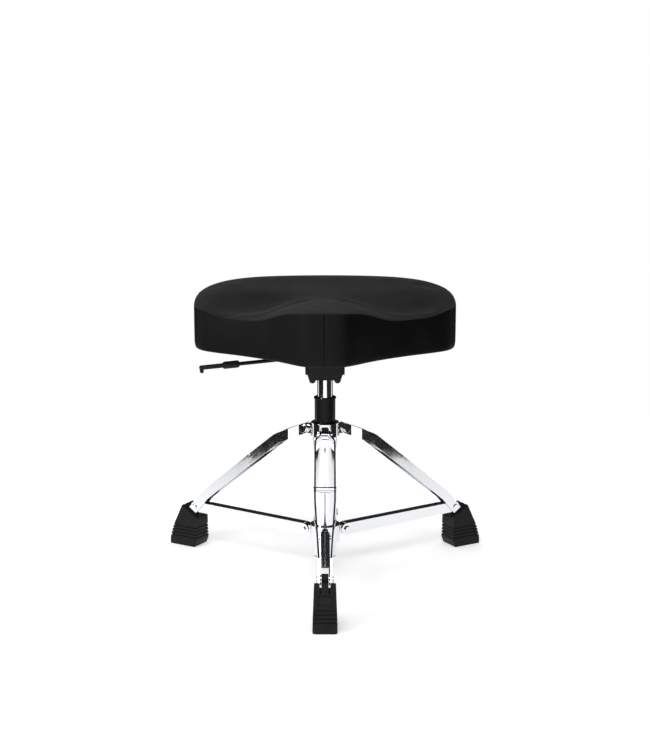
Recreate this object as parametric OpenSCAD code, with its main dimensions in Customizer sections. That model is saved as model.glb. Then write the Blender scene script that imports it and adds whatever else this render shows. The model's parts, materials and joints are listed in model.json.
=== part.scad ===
// Drum throne: saddle seat on a gas-lift column and a folding, double-braced tripod.
// Millimetres. +Z is up, the floor is z = 0, and the nose of the seat points along -Y.
// Legs, braces and feet are drawn in a leg's own frame: +X outward, Y across, Z up.

/* [Seat] */
// Height of the seat's underside above the floor, at its lowest setting
seat_z = 412; // [411:0.5:413]
// Height of the seat at the tip of its nose
nose_h = 96.5; // [88:0.5:100]
// How far the back of the seat rises above the nose
back_rise = 14.5; // [8:0.5:18]
// Depth of the two thigh scoops
scoop_depth = 28; // [15:1:30]
// Distance of each scoop from the middle
scoop_x = 127; // [115:1:135]
// How far the top panel rounds down to its seam at the nose and in the scoops
front_lip = 3; // [1:0.5:4]
// How far the top panel rounds down to its seam round the back and the sides
back_lip = 12.5; // [8:0.5:16]
// Thickness of the cover panels
cover_t = 2; // [1.5:0.1:2.5]
// Thickness of the plywood board
board_t = 12; // [10:1:15]

/* [Column] */
// Outer diameter of the chrome base tube
base_tube_d = 42.4; // [42:0.1:43]
// Outer diameter of the black column tube
column_tube_d = 37.6; // [37:0.1:38]
// Diameter of the gas cylinder
cylinder_d = 28; // [27.5:0.1:28.5]
// Height of the top of the bushing's flange
bushing_top = 325.6; // [320:0.2:330]
// Height of the base tube's lower end
tube_foot_z = 28; // [24:1:32]

/* [Legs] */
// Distance of the leg's hinge from the column axis
hinge_r = 40; // [39:0.5:41]
// Height of the leg's hinge
hinge_z = 263; // [262:0.5:264]
// Width of the flat strips
strip_w = 18; // [16:0.5:19]
// Thickness of the flat strips
strip_t = 3; // [2.5:0.1:3]
// Clear gap between a leg's two strips along its middle
strip_gap = 31.7; // [31:0.1:32.5]

/* [Braces] */
// Distance of the brace's inner bolt from the column axis
brace_r = 42.4; // [41.5:0.1:43]
// Height of the brace's inner bolt when the stand is open
brace_z = 71; // [70:0.5:72]
// Outer width of the U-shaped channel
channel_w = 17; // [16.6:0.1:17]
// Wall of the U-shaped channel
channel_t = 2; // [1.5:0.1:2]

/* [Feet] */
// Reach of the sole's outer edge from the column axis
foot_reach = 335; // [330:1:340]
// Length of the sole
sole_l = 58; // [54:1:60]
// Width of the sole
sole_w = 42; // [40:1:44]
// Width of the foot at its top
foot_top_w = 36; // [35:1:38]

/* [Hidden] */
$fn = 48;
e = 0.01;
fit = 0.05;
// How far a cutting shape reaches past the surfaces it cuts
over = 1;
far = 30;

LEGS = ["front", "rear_right", "rear_left"];
LEG_TURN = [-90, 30, 150];
LEG_PARTS = ["_strip_a", "_strip_b", "_spacer", "_foot_rivets", "_foot", "_foot_pin", "_brace"];

// The column axis stands behind the middle of the stand, so the model is centred on its box.
sole_round = 6;
rear_reach = (foot_reach - sole_round) * sin(30) + (sole_w / 2 - sole_round) * cos(30) + sole_round;
axis_y = (foot_reach - rear_reach) / 2;

module on_axis() { translate([0, axis_y, 0]) children(); }
module on_leg(i) { on_axis() rotate([0, 0, LEG_TURN[i]]) children(); }
// A plate drawn in the x-z plane, its middle at y.
module upright(y, t) {
  translate([0, y, 0]) rotate([90, 0, 0]) linear_extrude(height = t, center = true) children();
}
// A cylinder along Y between two values of y.
module across(x, z, r, y0, y1) { translate([x, y1, z]) rotate([90, 0, 0]) cylinder(r = r, h = y1 - y0); }
// A cylinder along X between two values of x.
module along(y, z, r, x0, x1) { translate([x0, y, z]) rotate([0, 90, 0]) cylinder(r = r, h = x1 - x0); }
module ring(r_out, r_in, z0, z1) {
  difference() {
    translate([0, 0, z0]) cylinder(r = r_out, h = z1 - z0);
    translate([0, 0, z0 - over]) cylinder(r = r_in, h = z1 - z0 + 2 * over);
  }
}

// ---- Seat ----
// Right half of the seat's outline, measured from the column axis, from the nose to the back.
HALF = [[0, -153], [26, -151], [46, -140], [93, -95], [149, -55], [200, -25], [226, -3], [237, 30],
        [232, 92], [204, 132], [150, 159], [80, 172]];
heart = [0, 20];
steps = 3;
outline_pts = concat(HALF, [[0, 176]], [for (i = [len(HALF) - 1 : -1 : 1]) [-HALF[i][0], HALF[i][1]]]);
corners = len(outline_pts);
function spline(a, b, c, d, t) =
  0.5 * (2 * b + (c - a) * t + (2 * a - 5 * b + 4 * c - d) * t * t + (3 * b - a - 3 * c + d) * t * t * t);
outline = [for (i = [0 : corners - 1]) for (k = [0 : steps - 1])
  spline(outline_pts[(i + corners - 1) % corners], outline_pts[i], outline_pts[(i + 1) % corners],
         outline_pts[(i + 2) % corners], k / steps)];
turns = len(outline);
function inset(p, k) = heart + (p - heart) * k;
function smooth(a, b, v) = let (t = min(1, max(0, (v - a) / (b - a)))) t * t * (3 - 2 * t);
// Height of the seat's top surface over a point of the plan, before its edge is rounded down.
dip_y = 15;
dip_spread = 42;
dip_depth = 6;
scoop_back = 68;
function scoop_spread(y) = 50 + 16 * smooth(-80, 20, y);
// Share of a scoop's depth: it rises towards the middle, and stays deep outward until near the side.
function scoop_share(p) = abs(p[0]) < scoop_x ? exp(-pow((abs(p[0]) - scoop_x) / scoop_spread(p[1]), 2))
  : 1 - 0.8 * smooth(175, 250, abs(p[0]));
function crown(p) = seat_z + nose_h + back_rise * smooth(60, 165, p[1])
  - dip_depth * exp(-pow((p[1] - dip_y) / dip_spread, 2))
  - scoop_depth * scoop_share(p) * (1 - smooth(-20, scoop_back, p[1]));
// How far the edge is rounded down, from nothing at edge_k of the way out to the whole lip at the seam.
edge_k = 0.88;
function lip(p) = front_lip + (back_lip - front_lip) * smooth(-30, 40, p[1]);
function roll(k) = k < edge_k ? 0 : 1 - sqrt(max(0, 1 - pow((k - edge_k) / (1 - edge_k), 2)));
function seat_top(p, k) = crown(p) - lip(p) * roll(k);

RINGS = [0.16, 0.32, 0.47, 0.6, 0.71, 0.8, 0.88, 0.93, 0.97, 0.99, 1];
// A closed cushion between two surfaces, each a fan of rings about the heart of the seat.
module cushion(k, drop, floor_z, follow) {
  n = len(RINGS);
  function lid(s, d) = concat([for (r = RINGS)
    for (p = outline) let (q = inset(p, r * s)) [q[0], q[1], seat_top(q, r) - d]],
                              [[heart[0], heart[1], seat_top(heart, 0) - d]]);
  function base(s) = follow > 0 ? lid(s, follow)
    : concat([for (r = RINGS) for (p = outline) let (q = inset(p, r * s)) [q[0], q[1], floor_z]],
             [[heart[0], heart[1], floor_z]]);
  top = lid(k, drop);
  low = base(k);
  m = len(top);
  quads = [for (r = [0 : n - 2]) for (i = [0 : turns - 1]) let (j = (i + 1) % turns)
    [r * turns + i, r * turns + j, (r + 1) * turns + j, (r + 1) * turns + i]];
  fan = [for (i = [0 : turns - 1]) [m - 1, (i + 1) % turns, i]];
  edge = (n - 1) * turns;
  // The quads are split, because their four corners needn't lie in one plane.
  split = [for (q = quads) each [[q[0], q[1], q[2]], [q[0], q[2], q[3]]]];
  wall = [for (i = [0 : turns - 1]) let (j = (i + 1) % turns)
    each [[edge + i, edge + j, m + edge + j], [edge + i, m + edge + j, m + edge + i]]];
  upper = concat(split, fan);
  lower = [for (f = upper) [f[0] + m, f[2] + m, f[1] + m]];
  on_axis() polyhedron(points = concat(top, low), faces = concat(upper, wall, lower), convexity = 6);
}
// A wall that follows the outline, from the underside up to the top panel.
module skirt(k_out, k_in, drop, floor_z) {
  outer_top = [for (p = outline) let (q = inset(p, k_out)) [q[0], q[1], seat_top(q, 1) - drop]];
  inner_top = [for (p = outline) let (q = inset(p, k_in)) [q[0], q[1], seat_top(q, 1) - drop]];
  outer_low = [for (p = outline) let (q = inset(p, k_out)) [q[0], q[1], floor_z]];
  inner_low = [for (p = outline) let (q = inset(p, k_in)) [q[0], q[1], floor_z]];
  loops = [outer_low, outer_top, inner_top, inner_low];
  faces = [for (a = [0 : 3]) let (b = (a + 1) % 4) for (i = [0 : turns - 1]) let (j = (i + 1) % turns)
    each [[a * turns + i, b * turns + i, b * turns + j], [a * turns + i, b * turns + j, a * turns + j]]];
  on_axis() polyhedron(points = concat(outer_low, outer_top, inner_top, inner_low), faces = faces,
    convexity = 8);
}
skirt_in = 0.985;
pad_k = 0.972;
foam_gap = 1.2;
board_z = seat_z + 1;
module seat_top_cover() { color("#161616") cushion(1, 0, 0, cover_t); }
module seat_side_cover() { color("#1c1c1c") skirt(1, skirt_in, cover_t + 0.4, seat_z); }
module foam_pad() { color("#d8cfa8") cushion(pad_k, cover_t + foam_gap, board_z + board_t + 0.1, 0); }
module plan_shape(k) { polygon([for (p = outline) inset(p, k)]); }

bolt_spot = [44, 58];
SPOTS = [for (sx = [-1, 1]) for (sy = [-1, 1]) [sx * bolt_spot[0], sy * bolt_spot[1]]];
seat_bolt_r = 3;
nut_r = 4;
module seat_board() {
  color("#b08a5a") on_axis() difference() {
    translate([0, 0, board_z]) linear_extrude(height = board_t) plan_shape(pad_k);
    for (s = SPOTS) {
      translate([s[0], s[1], board_z - over]) cylinder(r = nut_r, h = board_t + 2 * over);
    }
  }
}
module bottom_cloth() {
  color("#202020") on_axis() difference() {
    translate([0, 0, seat_z]) linear_extrude(height = board_z - seat_z) plan_shape(pad_k);
    for (s = SPOTS) translate([s[0], s[1], seat_z - over])
      cylinder(r = nut_r, h = board_z - seat_z + 2 * over);
  }
}
nut_short = 2;
module tee_nuts() {
  color("silver") on_axis() for (s = SPOTS) translate([s[0], s[1], 0])
    ring(nut_r, seat_bolt_r, board_z, board_z + board_t - nut_short);
}
plate_t = 3.5;
plate_z = seat_z - plate_t;
plate_x = 58;
plate_y = 72;
plate_round = 10;
washer_t = 1.5;
washer_r = 7;
bolt_short = 3;
head_r = 5.8;
head_h = 4;
module seat_plate() {
  color("#141414") on_axis() difference() {
    union() {
      translate([-plate_x, -plate_y + plate_round, plate_z])
        cube([2 * plate_x, 2 * (plate_y - plate_round), plate_t]);
      translate([-plate_x + plate_round, -plate_y, plate_z])
        cube([2 * (plate_x - plate_round), 2 * plate_y, plate_t]);
      for (sx = [-1, 1]) for (sy = [-1, 1])
        translate([sx * (plate_x - plate_round), sy * (plate_y - plate_round), plate_z])
          cylinder(r = plate_round, h = plate_t);
    }
    for (s = SPOTS) translate([s[0], s[1], plate_z - over]) cylinder(r = seat_bolt_r, h = plate_t + 2 * over);
  }
}
module seat_washers() {
  color("silver") on_axis() for (s = SPOTS) translate([s[0], s[1], 0])
    ring(washer_r, seat_bolt_r, plate_z - washer_t, plate_z);
}
module seat_bolts() {
  color("silver") on_axis() for (s = SPOTS) translate([s[0], s[1], 0]) {
    translate([0, 0, plate_z - washer_t])
      cylinder(r = seat_bolt_r, h = board_z + board_t - bolt_short - plate_z + washer_t);
    translate([0, 0, plate_z - washer_t - head_h]) cylinder(r = head_r, h = head_h, $fn = 6);
  }
}

// ---- Release mechanism ----
block_z = 361;
block_x = 27;
block_y = 24;
lobe_x = 22.5;
lobe_r = 6;
lobe_z = 361.5;
cap_x = 35.5;
cap_z = 378;
cap_r = 12;
cap_t = 4;
cap_pin_r = 4;
cap_pin_l = 7;
cap_pin_slack = 0.5;
shoulder_drop = 7;
slot_past = 5;
pin_x = -30;
pin_z = 400.5;
slot_w = 9;
slot_z = 391;
valve_well_r = 9;
pin_r = 2.5;
taper_end = 390;
taper_r0 = 14;
taper_r1 = 12.6;
module cheek_side() {
  // Outline of one side of the casting from the front, with its round lobe.
  polygon([[0, block_z], [lobe_x - lobe_r, block_z], [lobe_x - lobe_r, lobe_z], [lobe_x + lobe_r, lobe_z],
           [cap_x - cap_t, cap_z - shoulder_drop], [cap_x - cap_t, plate_z], [0, plate_z]]);
  translate([lobe_x, lobe_z]) circle(r = lobe_r);
}
module lever_housing() {
  color("#0e0e0e") on_axis() difference() {
    union() {
      upright(0, 2 * block_y) cheek_side();
      upright(0, 2 * block_y) mirror([1, 0]) cheek_side();
    }
    // Tapered socket for the gas cylinder
    translate([0, 0, block_z]) cylinder(r1 = taper_r0, r2 = taper_r1, h = taper_end - block_z);
    translate([0, 0, block_z - over]) cylinder(r = valve_well_r, h = plate_z - block_z + 2 * over);
    // Slot for the lever, open to the left and above
    translate([-cap_x - slot_past, -slot_w / 2, slot_z])
      cube([cap_x + slot_past + valve_well_r, slot_w, plate_z - slot_z + over]);
    across(pin_x, pin_z, pin_r, -block_y - over, block_y + over);
    for (s = [0, 1]) mirror([s, 0, 0]) along(0, cap_z, cap_pin_r, cap_x - cap_t - cap_pin_l -
      cap_pin_slack, cap_x);
  }
}
module housing_caps() {
  color("#0a0a0a") on_axis() for (s = [0, 1]) mirror([s, 0, 0]) {
    along(0, cap_z, cap_r, cap_x - cap_t, cap_x);
    along(0, cap_z, cap_pin_r, cap_x - cap_t - cap_pin_l, cap_x);
  }
}
module lever_pivot_pin() { color("silver") on_axis() across(pin_x, pin_z, pin_r, -block_y, block_y); }

droop = 6;
rod_r = 3.5;
// The lever's own frame: its pivot at the origin and its length along -X, drooping.
module on_lever() { on_axis() translate([pin_x, 0, pin_z]) rotate([0, -droop, 0]) children(); }
sleeve_x = 125;
sleeve_l = 30;
sleeve_r = 6.75;
sleeve_end_r = 5.6;
sleeve_lip = 2;
grip_l = 43;
grip_r = 4.2;
hook_r = 3.6;
hook_l = 7;
// The rod lies this far below the line through the pivot
rod_y = -1;
rod_in = 6;
arm_w = 7;
arm_r = 5.5;
arm_x0 = -14;
arm_x1 = -2;
arm_z0 = -4.5;
arm_z1 = 2.5;
tongue_z0 = 0.2;
tongue_h = 4;
tongue_past = 6;
module lever_rod() {
  color("#1a1a1a") on_axis() difference() {
    union() {
      translate([pin_x, 0, pin_z]) rotate([0, -droop, 0]) {
        along(0, rod_y, rod_r, -sleeve_x - sleeve_l - rod_in, -rod_in);
        across(0, 0, arm_r, -arm_w / 2, arm_w / 2);
        translate([arm_x0, -arm_w / 2, arm_z0]) cube([arm_x1 - arm_x0, arm_w, arm_z1 - arm_z0]);
      }
      // Flat tongue over the valve button
      translate([pin_x, -arm_w / 2, pin_z - tongue_z0]) cube([-pin_x + tongue_past, arm_w, tongue_h]);
    }
    across(pin_x, pin_z, pin_r + fit, -far, far);
  }
}
module lever_sleeve() {
  color("#121212") on_lever() difference() {
    union() {
      along(0, rod_y, sleeve_r, -sleeve_x - sleeve_l + sleeve_lip, -sleeve_x - sleeve_lip);
      along(0, rod_y, sleeve_end_r, -sleeve_x - sleeve_l, -sleeve_x);
    }
    along(0, rod_y, rod_r, -sleeve_x - sleeve_l - over, -sleeve_x + over);
  }
}
module lever_grip() {
  tip = -sleeve_x - sleeve_l - grip_l + grip_r;
  color("#121212") on_lever() difference() {
    union() {
      along(0, rod_y, grip_r, tip, -sleeve_x - sleeve_l);
      translate([tip, 0, rod_y]) sphere(r = grip_r);
      translate([tip, 0, rod_y - hook_l]) cylinder(r = hook_r, h = hook_l);
      translate([tip, 0, rod_y - hook_l]) sphere(r = hook_r);
    }
    along(0, rod_y, rod_r, -sleeve_x - sleeve_l - rod_in, -sleeve_x - sleeve_l + over);
  }
}

// ---- Gas lift ----
cylinder_z = 66;
cavity_r = 11.5;
cavity_top = 346;
cylinder_cap = 10;
rod_hole = 5;
rod_low = 38;
piston_z = 214;
piston_t = 8;
piston_fit = 0.1;
valve_r = 3;
valve_low = 350;
valve_bore_z = 300;
valve_gap = 0.5;
module gas_cylinder() {
  color("#c8c8c8") on_axis() difference() {
    union() {
      translate([0, 0, cylinder_z]) cylinder(r = cylinder_d / 2, h = block_z - cylinder_z);
      translate([0, 0, block_z]) cylinder(r1 = taper_r0, r2 = taper_r1, h = taper_end - block_z);
    }
    translate([0, 0, cylinder_z + cylinder_cap])
      cylinder(r = cavity_r, h = cavity_top - cylinder_z - cylinder_cap);
    translate([0, 0, cylinder_z - over]) cylinder(r = rod_hole + fit, h = cylinder_cap + 2 * over);
    translate([0, 0, valve_bore_z]) cylinder(r = valve_r + fit, h = taper_end - valve_bore_z + over);
  }
}
module valve_button() {
  color("#a0a0a0") on_axis() translate([0, 0, valve_low])
    cylinder(r = valve_r, h = pin_z - valve_gap - valve_low);
}
module piston_rod() {
  color("#d0d0d0") on_axis() {
    translate([0, 0, rod_low]) cylinder(r = rod_hole, h = piston_z - rod_low + e);
    translate([0, 0, piston_z]) cylinder(r = cavity_r - piston_fit, h = piston_t);
  }
}
// The bearing on the column's end plate, from the plate up
plate_low = 44;
end_plate_t = 4;
race_r = 11;
race_t = 2;
balls = 8;
ball_r = 2;
ball_ring = 8;
ball_fit = 0.02;
bumper_r = 9.5;
bumper_gap = 0.3;
clip_r = 8;
clip_t = 2;
clip_gap = 0.2;
lower_race_z = plate_low + end_plate_t;
ball_z = lower_race_z + race_t + ball_r;
upper_race_z = ball_z + ball_r;
module lower_race() {
  color("#b8b8b8") on_axis() ring(race_r, rod_hole + fit, lower_race_z, lower_race_z + race_t);
}
module upper_race() {
  color("#b8b8b8") on_axis() ring(race_r, rod_hole, upper_race_z, upper_race_z + race_t);
}
module bearing_balls() {
  color("#e0e0e0") on_axis() for (i = [0 : balls - 1])
    rotate([0, 0, i * 360 / balls]) translate([ball_ring, 0, ball_z]) sphere(r = ball_r - ball_fit);
}
module bumper() {
  color("#181818") on_axis() ring(bumper_r, rod_hole, upper_race_z + race_t, cylinder_z - bumper_gap);
}
module retaining_clip() {
  color("#909090") on_axis() ring(clip_r, rod_hole, plate_low - clip_gap - clip_t, plate_low - clip_gap);
}

// ---- Column ----
column_r = column_tube_d / 2;
column_wall = 2;
column_low = 40;
tube_r = base_tube_d / 2;
flange_t = 2.9;
flange_past = 1.4;
bushing_low = 245;
collar_z0 = 254;
collar_z1 = 279;
tube_top = 265;
plug_t = 2;
plug_h = 8;
plug_in = 1;
plug_hole = 9;
module column_end_plate() {
  color("#303030") on_axis() ring(column_r - column_wall, rod_hole + fit, plate_low, plate_low + end_plate_t);
}
module column_tube() {
  color("#0c0c0c") on_axis() ring(column_r, column_r - column_wall, column_low, bushing_top - flange_t);
}
module column_bushing() {
  color("#101010") on_axis() difference() {
    union() {
      translate([0, 0, bushing_low]) cylinder(r = column_r - column_wall, h = bushing_top - bushing_low);
      translate([0, 0, bushing_top - flange_t]) cylinder(r = column_r + flange_past, h = flange_t);
    }
    translate([0, 0, bushing_low - over])
      cylinder(r = cylinder_d / 2 + fit, h = bushing_top - bushing_low + 2 * over);
  }
}
module base_tube() { color("#d4d4d4") on_axis() ring(tube_r, column_r, tube_foot_z, tube_top); }
module base_plug() {
  color("#101010") on_axis() difference() {
    union() {
      translate([0, 0, tube_foot_z - plug_t]) cylinder(r = tube_r - plug_in, h = plug_t);
      translate([0, 0, tube_foot_z]) cylinder(r = column_r, h = plug_h);
    }
    translate([0, 0, tube_foot_z - plug_t - over]) cylinder(r = plug_hole, h = plug_t + plug_h + 2 * over);
  }
}

// ---- Hinge collars ----
upper_r = 25.5;
lower_r = 27.7;
lug_w = 13;
low_lug_w = 12.6;
lug_round = 8;
hinge_bolt_r = 4;
brace_bolt_r = 3;
collar_low0 = 54;
collar_low1 = 86;
hinge_head_r = 6.8;
hinge_head_h = 3.5;
hinge_nut_r = 7;
hinge_nut_h = 4.5;
brace_head_r = 5.5;
brace_head_h = 2.8;
brace_nut_r = 5.6;
brace_nut_h = 3.4;
bolt_gap = 0.1;
lug_start = 10;
module lug(r, z, w, round) {
  upright(0, w) union() {
    translate([lug_start, z - round]) square([r - lug_start, 2 * round]);
    translate([r, z]) circle(r = round);
  }
}
module upper_collar() {
  color("#c9c9c9") on_axis() difference() {
    union() {
      translate([0, 0, collar_z0]) cylinder(r = upper_r, h = collar_z1 - collar_z0);
      for (a = LEG_TURN) rotate([0, 0, a]) lug(hinge_r, hinge_z, lug_w, lug_round);
    }
    translate([0, 0, collar_z0 - over]) cylinder(r = tube_r, h = tube_top - collar_z0 + over);
    translate([0, 0, collar_z0]) cylinder(r = column_r, h = collar_z1 - collar_z0 + over);
    for (a = LEG_TURN) rotate([0, 0, a]) across(hinge_r, hinge_z, hinge_bolt_r, -far, far);
  }
}
strip_near = lug_w / 2 + 0.2;
module hinge_bolts() {
  half = strip_near + strip_t + bolt_gap;
  color("#bdbdbd") on_axis() for (a = LEG_TURN) rotate([0, 0, a]) {
    across(hinge_r, hinge_z, hinge_bolt_r, -half, half);
    across(hinge_r, hinge_z, hinge_head_r, half, half + hinge_head_h);
    translate([hinge_r, -half, hinge_z]) rotate([90, 0, 0])
      cylinder(r = hinge_nut_r, h = hinge_nut_h, $fn = 6);
  }
}
wing_y = 50;
wing_z = brace_z;
wing_bolt_r = 4;
wing_hub_r = 8;
wing_hub_l = 10;
wing_past = 3;
boss_r = 8.5;
boss_y0 = 10;
boss_gap = 2;
bolt_bore_y = 15;
module lower_collar() {
  color("#c9c9c9") on_axis() difference() {
    union() {
      translate([0, 0, collar_low0]) cylinder(r = lower_r, h = collar_low1 - collar_low0);
      for (a = LEG_TURN) rotate([0, 0, a]) lug(brace_r, brace_z, low_lug_w, lug_round);
      across(0, wing_z, boss_r, boss_y0, wing_y - wing_hub_l - boss_gap);
    }
    translate([0, 0, collar_low0 - over])
      cylinder(r = tube_r + fit, h = collar_low1 - collar_low0 + 2 * over);
    for (a = LEG_TURN) rotate([0, 0, a]) across(brace_r, brace_z, brace_bolt_r, -far, far);
    across(0, wing_z, wing_bolt_r + fit, bolt_bore_y, wing_y);
  }
}
module brace_bolts() {
  half = channel_w / 2 + bolt_gap;
  color("#bdbdbd") on_axis() for (a = LEG_TURN) rotate([0, 0, a]) {
    across(brace_r, brace_z, brace_bolt_r, -half, half);
    across(brace_r, brace_z, brace_head_r, half, half + brace_head_h);
    translate([brace_r, -half, brace_z]) rotate([90, 0, 0])
      cylinder(r = brace_nut_r, h = brace_nut_h, $fn = 6);
  }
}
wing_reach = 36;
wing_tilt = 55;
wing_t = 5;
wing_end_r = 9;
wing_waist = 6;
wing_eye_r = 3.2;
bolt_tip_gap = 0.3;
module wing_bolt() {
  arm = wing_reach - wing_end_r;
  color("#c0c0c0") on_axis() {
    across(0, wing_z, wing_bolt_r, tube_r + bolt_tip_gap, wing_y + wing_past);
    across(0, wing_z, wing_hub_r, wing_y - wing_hub_l, wing_y + wing_past);
    translate([0, 0, wing_z]) rotate([0, -wing_tilt, 0]) upright(wing_y, wing_t) difference() {
      union() {
        for (sx = [-1, 1]) translate([sx * arm, 0]) circle(r = wing_end_r);
        polygon([[-arm, -wing_end_r], [0, -wing_waist], [arm, -wing_end_r], [arm, wing_end_r], [0,
          wing_waist],
                 [-arm, wing_end_r]]);
      }
      for (sx = [-1, 1]) translate([sx * arm, 0]) circle(r = wing_eye_r);
    }
  }
}

// ---- Legs ----
// Centre line of a strip in the leg's frame: hinge, upper bend, lower bend and cut end.
LEG_PATH = [[hinge_r, hinge_z], [92, 240], [258.8, 103.5], [287.2, 69.4]];
bend_r = 50;
bend_steps = 6;
end_steps = 16;
rivet = [282.7, 77.2];
spacer = [152.6, 195.4];
function unit(v) = v / norm(v);
function normal(v) = [-v[1], v[0]];
// Points and directions along the centre line, with each bend a true arc.
function bend(a, b, c) =
  let (u = unit(b - a), v = unit(c - b), turn = acos(u * v), back = bend_r * tan(turn / 2), start = b -
    u * back,
       hub = start - normal(u) * bend_r)
  [for (k = [0 : bend_steps]) let (w = -turn * k / bend_steps, n = normal(u),
       m = [n[0] * cos(w) - n[1] * sin(w), n[0] * sin(w) + n[1] * cos(w)]) [hub + m * bend_r, m]];
function strip_path(extra) = let (p = LEG_PATH, end = unit(p[3] - p[2])) concat(
  [[p[0], normal(unit(p[1] - p[0]))]], bend(p[0], p[1], p[2]), bend(p[1], p[2], p[3]),
  [[p[3] + end * extra, normal(end)]]);
module strip_side(grow) {
  path = strip_path(grow);
  n = len(path);
  half = strip_w / 2 + grow;
  start = path[0];
  back = [-start[1][1], start[1][0]];
  // Half round about the hinge
  cap = [for (k = [1 : end_steps - 1]) let (w = 180 * k / end_steps)
    start[0] + half * (-start[1] * cos(w) + back * sin(w))];
  polygon(concat([for (s = path) s[0] + s[1] * half],
                 [for (i = [n - 1 : -1 : 0]) path[i][0] - path[i][1] * half], cap));
}
foot_gap = 18.5;
flare_r0 = 50;
flare_r1 = 67;
taper_r_in = 175;
taper_r_out = 262;
// Plan of the strip on one side: close to the lug, flared out, then drawn in to the foot.
module strip_plan() {
  line = [[20, strip_near], [flare_r0, strip_near], [flare_r1, strip_gap / 2], [taper_r_in, strip_gap / 2],
          [taper_r_out, foot_gap / 2], [310, foot_gap / 2]];
  polygon(concat(line, [for (i = [len(line) - 1 : -1 : 0]) line[i] + [0, strip_t]]));
}
rivet_r = 3;
spacer_r = 5;
mid_head_r = 5.5;
mid_head_h = 1.2;
foot_head_r = 6;
foot_head_h = 2;
module strip(i, side) {
  color("#d6d6d6") on_leg(i) mirror([0, side, 0]) difference() {
    intersection() {
      upright(0, 2 * far) strip_side(0);
      linear_extrude(height = hinge_z + far) strip_plan();
    }
    across(hinge_r, hinge_z, hinge_bolt_r + fit, -far, far);
    across(spacer[0], spacer[1], rivet_r, -far, far);
    across(rivet[0], rivet[1], rivet_r, -far, far);
  }
}
module leg_spacer(i) {
  half = strip_gap / 2;
  out = half + strip_t;
  color("#cfcfcf") on_leg(i) {
    across(spacer[0], spacer[1], spacer_r, -half, half);
    across(spacer[0], spacer[1], rivet_r, -out, out);
    across(spacer[0], spacer[1], mid_head_r, out, out + mid_head_h);
    across(spacer[0], spacer[1], mid_head_r, -out - mid_head_h, -out);
  }
}
module foot_rivets(i) {
  near = foot_gap / 2;
  out = near + strip_t;
  color("#cfcfcf") on_leg(i) for (s = [0, 1]) mirror([0, s, 0]) {
    across(rivet[0], rivet[1], rivet_r, near, out + e);
    across(rivet[0], rivet[1], foot_head_r, out, out + foot_head_h);
  }
}

// ---- Feet ----
tongue_w = 12;
tongue_r = 10;
foot_top = [304, 78];
foot_heel = [276, 59];
sole_x0 = foot_reach - sole_l;
sole_edge = 4;
GROOVES = [17, 23.5, 30, 36.5];
front_rise = 6;
heel_in = 3.5;
foot_cut_z = 85;
heel_low = [272, 12];
front_bulge = [326, 36];
module foot_side(d) {
  polygon([[sole_x0 + d, 0], [foot_reach - d, 0], [foot_reach - d, sole_edge], front_bulge - [d, 0],
           foot_top + [-d, front_rise], foot_heel + [d - heel_in, 0], heel_low + [d, 0]]);
}
module foot_front(d) {
  polygon([[-sole_w / 2 + d, 0], [sole_w / 2 - d, 0], [sole_w / 2 - d, sole_edge], [foot_top_w / 2 - d,
    foot_cut_z],
           [-foot_top_w / 2 + d, foot_cut_z], [-sole_w / 2 + d, sole_edge]]);
}
module foot_plan(d) {
  w = sole_w - 2 * d;
  x0 = sole_x0 - far;
  x1 = foot_reach - d;
  r = sole_round;
  translate([x0, -w / 2]) square([x1 - x0 - r, w]);
  translate([x0, -w / 2 + r]) square([x1 - x0, w - 2 * r]);
  for (s = [-1, 1]) translate([x1 - r, s * (w / 2 - r)]) circle(r = r);
}
module foot_core(d) {
  intersection() {
    upright(0, 2 * sole_w) foot_side(d);
    rotate([90, 0, 90]) linear_extrude(height = foot_reach + far) foot_front(d);
    linear_extrude(height = foot_cut_z + far) foot_plan(d);
  }
}
groove_depth = 1.5;
groove_h = 2.2;
panel_w = 25;
panel_z0 = 45;
panel_z1 = 60;
panel_depth = 1.8;
tongue_low = [[2, 56], [4, 60]];
strip_fit = 0.05;
slot_mid = 7.5;
brace_slot_w = 2.8;
brace_slot_z = 62.5;
module foot_shoulder() {
  // Everything above the sloping shoulder
  slope = foot_top - foot_heel;
  above = [0, 2 * far];
  upright(0, 2 * sole_w)
    polygon([foot_heel - slope, foot_heel, foot_top, foot_top + slope, foot_top + slope + above,
                                  foot_heel - slope + above]);
}
module foot(i) {
  color("#111111") on_leg(i) difference() {
    union() {
      difference() {
        foot_core(0);
        foot_shoulder();
        difference() {
          union() {
            for (z = GROOVES) translate([sole_x0 - far, -sole_w, z])
              cube([sole_l + 2 * far, 2 * sole_w, groove_h]);
          }
          foot_core(groove_depth);
        }
        difference() {
          translate([rivet[0], -panel_w / 2, panel_z0]) cube([2 * far, panel_w, panel_z1 - panel_z0]);
          foot_core(panel_depth);
        }
      }
      upright(0, tongue_w) union() {
        polygon([[rivet[0] - tongue_r + tongue_low[0][0], tongue_low[0][1]],
                 [rivet[0] + tongue_r + tongue_low[1][0], tongue_low[1][1]],
                 [rivet[0] + tongue_r, rivet[1]], [rivet[0] - tongue_r, rivet[1]]]);
        translate(rivet) circle(r = tongue_r);
      }
    }
    for (s = [-1, 1]) {
      upright(s * (foot_gap + strip_t) / 2, strip_t + 2 * strip_fit) strip_side(strip_fit);
      // Slot in which the brace's wall runs
      translate([sole_x0, s * slot_mid - brace_slot_w / 2, brace_slot_z]) cube([2 * far, brace_slot_w, far]);
    }
    across(rivet[0], rivet[1], rivet_r, -far, far);
  }
}
module foot_pin(i) {
  color("#c0c0c0") on_leg(i) across(rivet[0], rivet[1], rivet_r, -tongue_w / 2, tongue_w / 2);
}

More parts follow.
